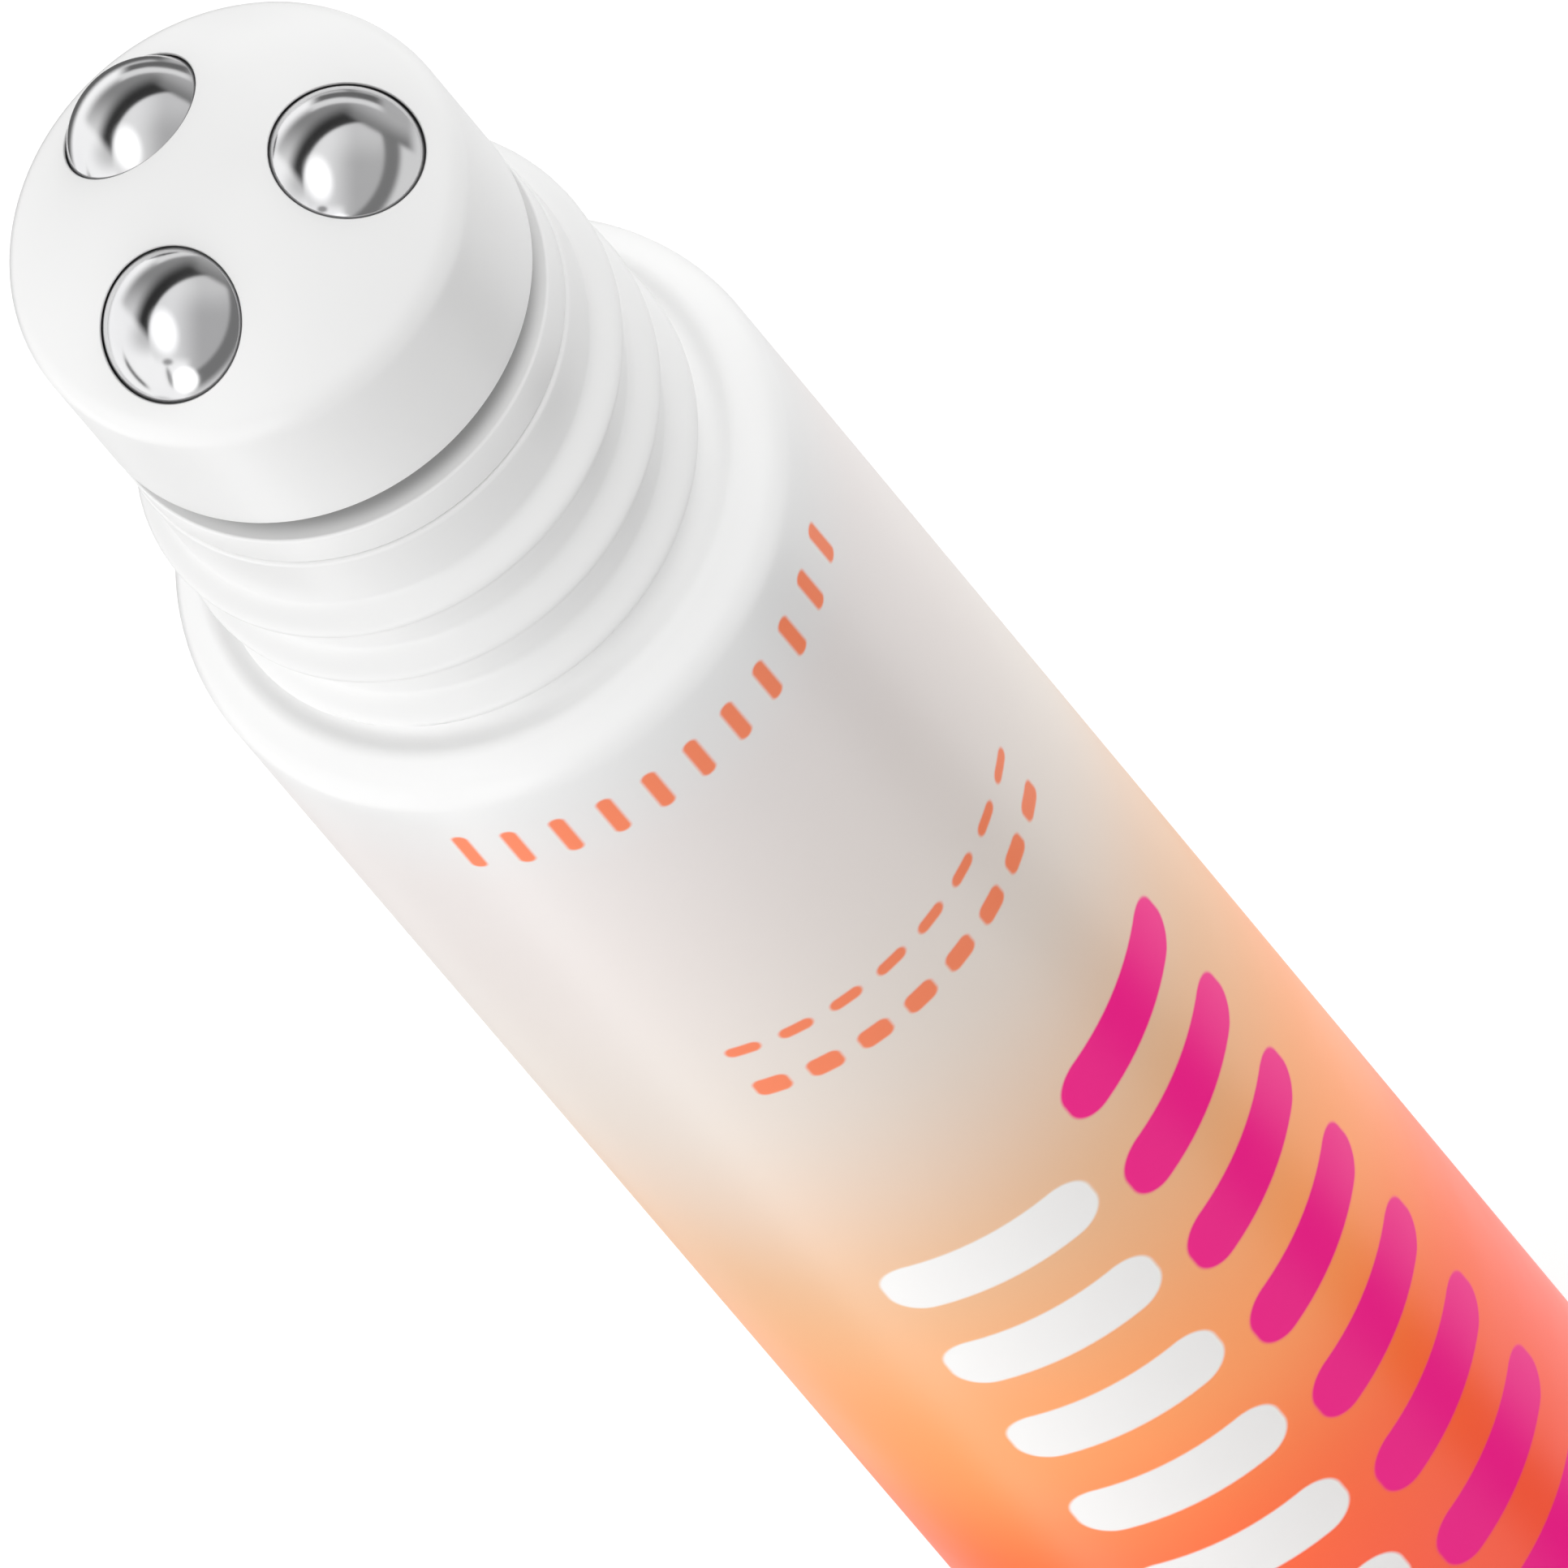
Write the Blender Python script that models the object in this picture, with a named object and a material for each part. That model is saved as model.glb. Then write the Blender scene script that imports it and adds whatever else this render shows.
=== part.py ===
# Eye serum bottle whose head holds three steel massage balls.
# The bottle stands on its base at z = 0, its axis is the Z axis, and lengths are in metres.

from math import asin, atan2, cos, hypot, pi, radians, sin, sqrt, tau

import bmesh
import bpy
from mathutils import Matrix, Vector

mm = 0.001

# Fits that all pieces share
seat_gap = 0.3 * mm           # between a piece and the piece that it rests on
cut_overrun = 1.0 * mm        # how far a cutter runs past what it cuts
merge_distance = 0.002 * mm   # points closer than this are one point

# Bottle body
body_diameter = 19.0 * mm
body_height = 77.3 * mm       # from the base up to the shoulder
body_wall = 0.9 * mm
base_wall = 1.2 * mm
inner_corner_radius = 0.5 * mm    # inside, where the shoulder meets the wall
base_corner_radius = 1.2 * mm
base_recess = 0.8 * mm        # height of the hollow under the base
foot_width = 1.1 * mm         # flat ring that the bottle stands on
shoulder_corner_width = 1.1 * mm
shoulder_corner_drop = 1.4 * mm
shoulder_land = 0.4 * mm      # flat ring that a cap closes against

# Bottle neck and its screw thread
neck_fillet = 0.9 * mm
neck_height = 9.9 * mm        # from the shoulder up to the lip
neck_wall = 1.3 * mm
lip_chamfer = 0.15 * mm
thread_pitch = 3.0 * mm
thread_depth = 0.7 * mm
thread_upper_width = 1.3 * mm     # from the crest up to the foot of the upper flank
thread_lower_width = 1.5 * mm     # from the crest down to the foot of the lower flank
thread_drop = 0.9 * mm        # from the lip down to the crest at the upper end
thread_fade = 0.6 * mm        # the ridge dies out this far from the lip and from the shoulder
thread_start = radians(140)
thread_turns = 3.0
thread_end_turn = 0.25        # part of a turn in which each end of the ridge rises

# Fitment that plugs the neck and carries the head
collar_height = 1.4 * mm
collar_gap = 1.2 * mm         # open space between the collar and the rim of the head
collar_chamfer = 0.1 * mm
plug_length = 8.0 * mm
plug_wall = 1.2 * mm
plug_taper = 0.4 * mm
rib_rise = 0.3 * mm
rib_height = 0.5 * mm
rib_spacing = 2.0 * mm
rib_count = 3
bead_rise = 0.45 * mm         # how far the snap bead stands out of the spigot
bead_height = 0.5 * mm
feed_plate = 0.7 * mm
feed_hole_diameter = 2.0 * mm

# Balls and the head that is built around them
ball_diameter = 5.33 * mm
ball_spacing = 0.89 * mm      # between two neighbouring balls
ball_clearance = 0.15 * mm    # all round a ball in its socket
ball_stand_out = 1.08 * mm    # how far a ball rises out of the dome
ball_count = 3
ball_first_angle = radians(90)
socket_wall = 0.64 * mm       # plastic left between a socket and the outside of the head
dome_radius = 11.3 * mm
dome_edge_radius = 1.16 * mm
crown_wall = 1.2 * mm
skirt_wall = 1.0 * mm
skirt_entry = 0.6 * mm        # from the rim up to the groove for the snap bead
ledge_width = 0.75 * mm

# Seat with the three cups below the balls
seat_cover = 2.1 * mm         # from the seat's top up to the centres of the balls
seat_floor = 0.7 * mm         # plastic left below the lowest point of a cup
seat_recess = 0.5 * mm        # shallow hollow that spreads the serum below the cups
seat_rim = 1.0 * mm           # width of the foot around that hollow
cup_hole_diameter = 1.0 * mm

# How finely the round shapes are divided
round_sides = 48
ball_sides = 24
hole_sides = 16
corner_steps = 4
dome_steps = 6
thread_rows = 30
sharp_angle = radians(35)

# Sizes that follow from the values above
body_radius = body_diameter / 2
neck_radius = body_radius - shoulder_corner_width - shoulder_land - neck_fillet
bore_radius = neck_radius - neck_wall
lip_height = body_height + neck_height
collar_base = lip_height + seat_gap
rim_height = collar_base + collar_height + collar_gap

ball_radius = ball_diameter / 2
socket_radius = ball_radius + ball_clearance
ball_ring_radius = (ball_diameter + ball_spacing) / (2 * sin(pi / ball_count))
head_radius = ball_ring_radius + socket_radius + socket_wall
skirt_bore_radius = head_radius - skirt_wall
seat_radius = skirt_bore_radius - seat_gap
ledge_radius = skirt_bore_radius - ledge_width

# Heights inside the head are measured from its rim
groove_base = skirt_entry
spigot_top = groove_base + seat_gap + bead_height
seat_base = spigot_top + seat_gap
cup_bottom = seat_base + seat_recess + seat_floor
ball_height = cup_bottom + socket_radius
seat_top = ball_height - seat_cover
ball_reach = dome_radius + ball_stand_out - ball_radius
ball_tilt = asin(ball_ring_radius / ball_reach)
dome_centre = ball_height - ball_reach * cos(ball_tilt)


def clear_scene():
    for old in list(bpy.data.objects):
        bpy.data.objects.remove(old, do_unlink=True)


def make_material(name, colour, roughness, metallic):
    material = bpy.data.materials.new(name)
    material.use_nodes = True
    shader = material.node_tree.nodes["Principled BSDF"]
    shader.inputs["Base Color"].default_value = (*colour, 1)
    shader.inputs["Roughness"].default_value = roughness
    shader.inputs["Metallic"].default_value = metallic
    return material


def add_object(name, bm, material=None, parent=None):
    mesh = bpy.data.meshes.new(name)
    bm.to_mesh(mesh)
    bm.free()
    mesh.shade_smooth()
    mesh.set_sharp_from_angle(angle=sharp_angle)
    if material:
        mesh.materials.append(material)
    obj = bpy.data.objects.new(name, mesh)
    bpy.context.collection.objects.link(obj)
    obj.parent = parent
    return obj


def oval_arc(centre, radii, start, end, steps):
    # Points (r, z) on an oval from one angle to the other, both ends included
    angles = [start + (end - start) * i / steps for i in range(steps + 1)]
    return [(centre[0] + radii[0] * cos(a), centre[1] + radii[1] * sin(a)) for a in angles]


def arc(centre, radius, start, end, steps):
    return oval_arc(centre, (radius, radius), start, end, steps)


def spin_outline(outline, closed):
    # Turns an outline of (r, z) points about Z into a closed skin
    bm = bmesh.new()
    verts = [bm.verts.new((r, 0, z)) for r, z in outline]
    pairs = list(zip(verts, verts[1:]))
    if closed:
        pairs.append((verts[-1], verts[0]))
    edges = [bm.edges.new(pair) for pair in pairs]
    bmesh.ops.spin(bm, geom=verts + edges, cent=(0, 0, 0), axis=(0, 0, 1), angle=tau,
                   steps=round_sides, use_merge=True, use_duplicate=False)
    bmesh.ops.remove_doubles(bm, verts=bm.verts, dist=merge_distance)
    bmesh.ops.recalc_face_normals(bm, faces=bm.faces)
    return bm


def smooth_step(x):
    x = min(max(x, 0), 1)
    return x * x * (3 - 2 * x)


def thread_rise(angle, height, zone_high):
    # Height of the ridge above the neck wall, for a right-handed thread
    part_turn = ((thread_start - angle) % tau) / tau
    rise = 0
    for turn in range(int(thread_turns) + 1):
        walked = turn + part_turn
        offset = height - (lip_height - thread_drop - thread_pitch * walked)
        width = thread_upper_width if offset > 0 else thread_lower_width
        if walked > thread_turns or abs(offset) > width:
            continue
        end_ramp = min(walked, thread_turns - walked) / thread_end_turn
        ridge = thread_depth * (1 + cos(pi * offset / width)) / 2
        rise = max(rise, ridge * smooth_step(end_ramp))
    edge_ramp = min(height - body_height, zone_high - height) / thread_fade
    return rise * smooth_step(edge_ramp)


def make_bottle(material):
    # The outline runs from the middle of the base up the outside, over the lip and back inside
    foot_outer = body_radius - base_corner_radius
    foot_inner = foot_outer - foot_width
    fillet_top = body_height + neck_fillet
    zone_high = lip_height - lip_chamfer
    inner_radius = body_radius - body_wall
    inner_top = body_height - body_wall
    inner_base = base_recess + base_wall
    outline = [(0, base_recess), (foot_inner - base_recess, base_recess), (foot_inner, 0)]
    outline += arc((foot_outer, base_corner_radius), base_corner_radius, -pi / 2, 0, corner_steps)
    outline += oval_arc((body_radius - shoulder_corner_width, body_height - shoulder_corner_drop),
                        (shoulder_corner_width, shoulder_corner_drop), 0, pi / 2, 2 * corner_steps)
    outline += arc((neck_radius + neck_fillet, fillet_top), neck_fillet, -pi / 2, -pi, corner_steps)
    for i in range(1, thread_rows + 1):
        outline.append((neck_radius, fillet_top + (zone_high - fillet_top) * i / thread_rows))
    outline += [(neck_radius - lip_chamfer, lip_height), (bore_radius + lip_chamfer, lip_height)]
    outline += [(bore_radius, zone_high), (bore_radius, inner_top)]
    outline += arc((inner_radius - inner_corner_radius, inner_top - inner_corner_radius),
                   inner_corner_radius, pi / 2, 0, corner_steps)
    outline += arc((inner_radius - base_corner_radius, inner_base + base_corner_radius),
                   base_corner_radius, 0, -pi / 2, corner_steps)
    outline.append((0, inner_base))
    bm = spin_outline(outline, closed=False)
    for vert in bm.verts:
        x, y, z = vert.co
        radius = hypot(x, y)
        if radius < neck_radius - merge_distance or not body_height < z < zone_high:
            continue
        ridge_radius = neck_radius + thread_rise(atan2(y, x), z, zone_high)
        scale = max(ridge_radius / radius, 1)
        vert.co = Vector((x * scale, y * scale, z))
    return add_object("bottle", bm, material)


def make_fitment(material):
    # Heights here are measured from the lower face of the collar
    plug_radius = bore_radius - seat_gap - rib_rise
    plug_bore = plug_radius - plug_wall
    spigot_radius = skirt_bore_radius - seat_gap
    spigot_bore = min(plug_bore, spigot_radius - plug_wall)
    head_rim = collar_height + collar_gap
    plate_top = head_rim + spigot_top
    bead_base = plate_top - bead_height
    outline = [(plug_bore, -plug_length), (plug_radius - plug_taper, -plug_length)]
    outline.append((plug_radius, plug_taper - plug_length))
    for i in range(rib_count, 0, -1):
        middle = -rib_spacing * i
        outline += [(plug_radius, middle - rib_height / 2), (plug_radius + rib_rise, middle)]
        outline.append((plug_radius, middle + rib_height / 2))
    outline += [(plug_radius, 0), (head_radius - collar_chamfer, 0)]
    outline += [(head_radius, collar_chamfer), (head_radius, collar_height - collar_chamfer)]
    outline += [(head_radius - collar_chamfer, collar_height), (spigot_radius, collar_height)]
    outline += [(spigot_radius, bead_base), (spigot_radius + bead_rise, bead_base)]
    outline += [(spigot_radius, plate_top), (feed_hole_diameter / 2, plate_top)]
    outline += [(feed_hole_diameter / 2, plate_top - feed_plate), (spigot_bore, plate_top - feed_plate)]
    outline += [(spigot_bore, collar_height), (plug_bore, 0)]
    fitment = add_object("roller_fitment", spin_outline(outline, closed=True), material)
    fitment.location.z = collar_base
    return fitment


def make_housing(material, parent):
    # Outline of the dome and skirt, from the crown down the outside and back up the inside
    edge_reach = dome_radius - dome_edge_radius
    edge_r = head_radius - dome_edge_radius
    edge_z = dome_centre + sqrt(edge_reach ** 2 - edge_r ** 2)
    edge_angle = atan2(edge_z - dome_centre, edge_r)
    inner_dome = dome_radius - crown_wall
    inner_angle = atan2(sqrt(inner_dome ** 2 - ledge_radius ** 2), ledge_radius)
    ledge_height = seat_top + seat_gap
    groove_radius = skirt_bore_radius + bead_rise
    outline = arc((0, dome_centre), dome_radius, pi / 2, edge_angle, dome_steps)
    outline += arc((edge_r, edge_z), dome_edge_radius, edge_angle, 0, corner_steps)[1:]
    outline += [(head_radius, 0), (skirt_bore_radius, 0), (skirt_bore_radius, groove_base)]
    outline += [(groove_radius, groove_base), (groove_radius, spigot_top)]
    outline += [(skirt_bore_radius, seat_base), (skirt_bore_radius, ledge_height)]
    outline.append((ledge_radius, ledge_height))
    outline += arc((0, dome_centre), inner_dome, inner_angle, pi / 2, dome_steps)
    return add_object("roller_housing", spin_outline(outline, closed=False), material, parent)


def make_seat(material, parent):
    recess_radius = seat_radius - seat_rim
    recess_top = seat_base + seat_recess
    outline = [(0, seat_top), (seat_radius, seat_top), (seat_radius, seat_base)]
    outline += [(recess_radius, seat_base), (recess_radius, recess_top), (0, recess_top)]
    return add_object("ball_seat", spin_outline(outline, closed=False), material, parent)


def make_globe(name, radius, angle, material, parent):
    # A sphere whose poles lie on the level line about which the ball rolls
    bm = bmesh.new()
    bmesh.ops.create_uvsphere(bm, u_segments=ball_sides, v_segments=ball_sides // 2, radius=radius)
    globe = add_object(name, bm, material, parent)
    place = Vector((cos(angle), sin(angle), 0)) * ball_ring_radius
    globe.location = place + Vector((0, 0, ball_height))
    globe.rotation_euler = (-pi / 2, 0, angle)
    return globe


def make_cup_drill(name, angle, parent):
    # A rod from the ball's centre through the bottom of its cup, square to the dome
    depth = ball_height - seat_base + cut_overrun
    bm = bmesh.new()
    bmesh.ops.create_cone(bm, cap_ends=True, segments=hole_sides, radius1=cup_hole_diameter / 2,
                          radius2=cup_hole_diameter / 2, depth=depth,
                          matrix=Matrix.Translation((0, 0, -depth / 2)))
    drill = add_object(name, bm, parent=parent)
    place = Vector((cos(angle), sin(angle), 0)) * ball_ring_radius
    drill.location = place + Vector((0, 0, ball_height))
    drill.rotation_euler = (0, ball_tilt, angle)
    return drill


def cut(obj, cutter):
    cutter.hide_render = True
    cutter.display_type = "WIRE"
    boolean = obj.modifiers.new(cutter.name, "BOOLEAN")
    boolean.operation = "DIFFERENCE"
    boolean.solver = "EXACT"
    boolean.object = cutter


clear_scene()
bottle_plastic = make_material("Bottle plastic", (0.93, 0.66, 0.46), 0.35, 0)
white_plastic = make_material("Head plastic", (0.86, 0.86, 0.86), 0.25, 0)
fitment_plastic = make_material("Fitment plastic", (0.84, 0.84, 0.84), 0.35, 0)
seat_plastic = make_material("Seat plastic", (0.80, 0.80, 0.80), 0.4, 0)
ball_steel = make_material("Ball steel", (0.70, 0.70, 0.71), 0.06, 1)

make_bottle(bottle_plastic)
make_fitment(fitment_plastic)

head = bpy.data.objects.new("head_frame", None)
head.location.z = rim_height
bpy.context.collection.objects.link(head)
housing = make_housing(white_plastic, head)
seat = make_seat(seat_plastic, head)
for number in range(1, ball_count + 1):
    ball_angle = ball_first_angle + tau * (number - 1) / ball_count
    make_globe(f"roller_ball_{number}", ball_radius, ball_angle, ball_steel, head)
    socket = make_globe(f"socket_cutter_{number}", socket_radius, ball_angle, None, head)
    cut(housing, socket)
    cut(seat, socket)
    cut(seat, make_cup_drill(f"cup_drill_{number}", ball_angle, head))
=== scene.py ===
import math

import bmesh
import bpy
from mathutils import Matrix, Vector


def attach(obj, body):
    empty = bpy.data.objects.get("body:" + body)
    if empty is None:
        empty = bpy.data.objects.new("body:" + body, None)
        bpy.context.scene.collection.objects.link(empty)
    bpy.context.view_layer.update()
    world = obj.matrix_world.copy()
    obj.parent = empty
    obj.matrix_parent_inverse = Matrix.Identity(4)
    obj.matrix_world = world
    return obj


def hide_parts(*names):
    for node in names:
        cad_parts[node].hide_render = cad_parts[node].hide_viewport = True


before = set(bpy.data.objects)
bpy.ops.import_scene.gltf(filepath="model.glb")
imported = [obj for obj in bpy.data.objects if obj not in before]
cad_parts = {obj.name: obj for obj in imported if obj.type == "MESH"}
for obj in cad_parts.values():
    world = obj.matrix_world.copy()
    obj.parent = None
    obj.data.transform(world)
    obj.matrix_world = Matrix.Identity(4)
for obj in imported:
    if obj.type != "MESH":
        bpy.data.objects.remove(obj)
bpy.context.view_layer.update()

mm = 0.001
rimHeight = 90.1                   # lower edge of the white head, in mm
cameraTurn = math.radians(-5.54)   # the side of the bottle that faces the camera


# Meshes

meshDetail = {
    "fewestSteps": 4,              # faces around a rounded corner
    "mostSteps": 12,
    "stepsPerMm": 10,
    "near": 0.001,                 # in mm: how close to a wall a point counts as on it
    "straight": 0.0001,            # the same for the ends of a straight wall
    "merge": 0.002,                # points closer than this become one
    "sliver": 0.0005,              # thinner faces are closed up after a cut
    "sharp": math.radians(30),     # edges that turn more than this stay crisp
}


def drawProfile(bm, corners, closed=False):
    # corners: (radius, height, rounding) in mm; rounding is how far a corner is cut back
    detail = meshDetail
    verts = [bm.verts.new((radius * mm, 0, height * mm)) for radius, height, _ in corners]
    for a, b in zip(verts, verts[1:] + verts[:1] if closed else verts[1:]):
        bm.edges.new((a, b))
    for vert, (_, _, rounding) in zip(verts, corners):
        if rounding:
            steps = round(rounding * detail["stepsPerMm"])
            steps = max(detail["fewestSteps"], min(detail["mostSteps"], steps))
            bmesh.ops.bevel(bm, geom=[vert], offset=rounding * mm, offset_type="OFFSET",
                            segments=steps, profile=0.5, affect="VERTICES", material=-1)


def splitWall(bm, radius, longest):
    # Extra rows keep the shading even on a long straight wall
    for edge in list(bm.edges):
        if any(abs(v.co.x - radius * mm) > meshDetail["straight"] * mm for v in edge.verts):
            continue
        cuts = int(edge.calc_length() / (longest * mm))
        if cuts:
            bmesh.ops.subdivide_edges(bm, edges=[edge], cuts=cuts)


def turnProfile(bm, sides):
    bmesh.ops.spin(bm, geom=bm.verts[:] + bm.edges[:], cent=(0, 0, 0), axis=(0, 0, 1),
                   angle=math.tau, steps=sides, use_merge=True, use_duplicate=False)
    bmesh.ops.remove_doubles(bm, verts=bm.verts, dist=meshDetail["merge"] * mm)
    bmesh.ops.recalc_face_normals(bm, faces=bm.faces)


def addObject(name, bm):
    mesh = bpy.data.meshes.new(name)
    bm.to_mesh(mesh)
    bm.free()
    piece = bpy.data.objects.new(name, mesh)
    bpy.context.collection.objects.link(piece)
    return piece


def shadeSmooth(piece, sharp):
    piece.data.shade_smooth()
    piece.data.set_sharp_from_angle(angle=sharp)


def makeObject(name, bm, material):
    piece = addObject(name, bm)
    shadeSmooth(piece, meshDetail["sharp"])
    piece.data.materials.append(material)
    return piece


def fixPiece(piece, body, slotName, *nodes):
    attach(piece, body)
    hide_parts(*nodes)


# Shader nodes

def startMaterial(name):
    material = bpy.data.materials.new(name)
    material.use_nodes = True
    tree = material.node_tree
    shader = tree.nodes["Principled BSDF"]
    place = tree.nodes.new("ShaderNodeTexCoord").outputs["Object"]
    return material, tree, shader, place


def setOrLink(tree, value, socket):
    if isinstance(value, (int, float, tuple, Vector)):
        socket.default_value = value
    else:
        tree.links.new(value, socket)


def math2(tree, operation, a, b=0.0):
    node = tree.nodes.new("ShaderNodeMath")
    node.operation = operation
    for socket, value in zip(node.inputs, (a, b)):
        setOrLink(tree, value, socket)
    return node.outputs[0]


def times(tree, a, b):
    return math2(tree, "MULTIPLY", a, b)


def rangeOf(tree, value, low, high, toLow=0.0, toHigh=1.0):
    # A soft step from toLow at low to toHigh at high
    node = tree.nodes.new("ShaderNodeMapRange")
    node.interpolation_type = "SMOOTHSTEP"
    tree.links.new(value, node.inputs["Value"])
    ends = {"From Min": low, "From Max": high, "To Min": toLow, "To Max": toHigh}
    for key, number in ends.items():
        node.inputs[key].default_value = number
    return node.outputs["Result"]


def noiseOf(tree, place, scale, detail=3.0):
    node = tree.nodes.new("ShaderNodeTexNoise")
    node.inputs["Scale"].default_value = scale
    node.inputs["Detail"].default_value = detail
    tree.links.new(place, node.inputs["Vector"])
    return node.outputs["Fac"]


def mixColours(tree, factor, a, b):
    node = tree.nodes.new("ShaderNodeMix")
    node.data_type = "RGBA"
    for key, kind, value in (("Factor", "VALUE", factor), ("A", "RGBA", a), ("B", "RGBA", b)):
        socket = [s for s in node.inputs if s.name == key and s.type == kind][0]
        setOrLink(tree, (*value, 1) if isinstance(value, tuple) else value, socket)
    return [s for s in node.outputs if s.type == "RGBA"][0]


def vector2(tree, operation, a, b=None):
    node = tree.nodes.new("ShaderNodeVectorMath")
    node.operation = operation
    for socket, value in zip(node.inputs, (a, b)):
        if value is not None:
            setOrLink(tree, value, socket)
    gives = "Value" if operation in ("DOT_PRODUCT", "DISTANCE", "LENGTH") else "Vector"
    return node.outputs[gives]


def mixLevels(tree, factor, a, b):
    node = tree.nodes.new("ShaderNodeMix")
    for socket, value in zip(node.inputs[:1] + node.inputs[2:4], (factor, a, b)):
        setOrLink(tree, value, socket)
    return node.outputs[0]


def addGrain(tree, shader, place, look):
    # The fine grain of a surface, in its gloss and as a very low relief
    patches = noiseOf(tree, place, look["patchScale"])
    gloss = rangeOf(tree, patches, *look["patchSpan"], look["roughLow"], look["roughHigh"])
    tree.links.new(gloss, shader.inputs["Roughness"])
    bump = tree.nodes.new("ShaderNodeBump")
    bump.inputs["Strength"].default_value = look["grainStrength"]
    bump.inputs["Distance"].default_value = look["grainHeight"] * mm
    grain = noiseOf(tree, place, look["grainScale"], look["grainDetail"])
    tree.links.new(grain, bump.inputs["Height"])
    tree.links.new(bump.outputs["Normal"], shader.inputs["Normal"])
    return patches


# White moulded plastic of the head, the collar and the seat

whiteLook = {
    "white": (0.80, 0.80, 0.797),
    "shade": (0.79, 0.79, 0.787),
    "shadeSpan": (0.25, 0.75),     # part of the noise over which shade turns into white
    "patchScale": 180.0,
    "patchSpan": (0.3, 0.7),
    "roughLow": 0.29,
    "roughHigh": 0.33,
    "grainScale": 1600.0,
    "grainDetail": 2.0,
    "grainStrength": 0.03,
    "grainHeight": 0.004,
    "gapShade": (0.50, 0.50, 0.50),     # painted shade in the narrow gap around a ball
    "gapShadeFade": 0.08,
}


def mouldedWhite(name, look, sockets=()):
    material, tree, shader, place = startMaterial(name)
    patches = addGrain(tree, shader, place, look)
    whiter = rangeOf(tree, patches, *look["shadeSpan"])
    colour = mixColours(tree, whiter, look["shade"], look["white"])
    # Painted shade: the plastic is painted darker close round each opening, where the narrow gap
    # around the ball lies in shade
    for centre, radius in sockets:
        apart = vector2(tree, "DISTANCE", place, centre)
        clear = rangeOf(tree, apart, radius, radius + look["gapShadeFade"] * mm)
        colour = mixColours(tree, clear, look["gapShade"], colour)
    tree.links.new(colour, shader.inputs["Base Color"])
    return material


# Bottle, all in mm

bottleShape = {
    "bodyRadius": 9.5,
    "bodyHeight": 77.3,
    "wall": 0.9,
    "baseInside": 2.0,             # height of the chamber's floor
    "baseRecess": 0.8,
    "recessCorner": 0.3,
    "footInner": 7.2,
    "footCorner": 0.15,
    "baseCorner": 1.2,
    "shoulderTop": 8.35,           # radius where the shoulder starts to slope down
    "shoulderDrop": 0.95,
    "shoulderCorner": 0.6,
    "shoulderEdge": 0.22,
    "neckRadius": 7.1,
    "neckFillet": 0.9,
    "boreRadius": 5.8,
    "boreCorner": 0.3,
    "lipHeight": 87.46,
    "lipCorner": 0.16,
    "ceilingCorner": 0.5,          # inside the chamber, at its top and at its floor
    "floorCorner": 1.2,
    "sides": 144,
    "neckRow": 0.09,
    "wallRow": 0.6,
}

threadShape = {
    "pitch": 3.0,
    "depth": 0.7,
    "upperFlank": 0.85,
    "lowerFlank": 0.9,
    "topCrest": 86.45,             # height of the crest where the ridge starts
    "start": math.radians(140),
    "turns": 3.2,
    "endTurn": 0.25,               # part of a turn in which each end rises
    "highest": 87.05,
    "fade": 0.6,
    "blend": 0.25,                 # how softly the ridge runs into the fillet
}

printLook = {
    "white": (0.94, 0.93, 0.92),
    "magenta": (0.97, 0.0, 0.27),
    "orange": (0.95, 0.24, 0.11),
    "softEdge": 0.16,
    "bareGloss": 0.5,
    "gloss": 0.15,                 # the ink is duller than the bare plastic
}

# Plain bars and dashes. Around and height are in mm, and around is counted along the wall
# to the right of the side that faces the camera.
printBars = [
    {"ink": "orange", "around": 0.25, "everyAround": 1.5, "reach": (-7.6, 8.9),
     "wide": 0.5, "height": 73.2, "tall": 2.0, "corner": 0.24},
    {"ink": "orange", "around": -1.0, "everyAround": 1.7, "reach": (-5.4, 8.2),
     "wide": 1.1, "height": 58.6, "tall": 0.55, "corner": 0.26},
    {"ink": "orange", "around": -1.0, "everyAround": 1.7, "reach": (-5.4, 8.2),
     "wide": 1.1, "height": 56.2, "tall": 0.95, "corner": 0.3},
    {"ink": "white", "around": -2.6, "wide": 7.0, "height": 42.6, "everyHeight": 5.2,
     "span": (9, 45.2), "tall": 2.7, "corner": 1.1},
    {"ink": "magenta", "around": 5.3, "wide": 7.0, "height": 46.4, "everyHeight": 5.2,
     "span": (8, 49), "tall": 2.7, "corner": 1.1},
]

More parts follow.
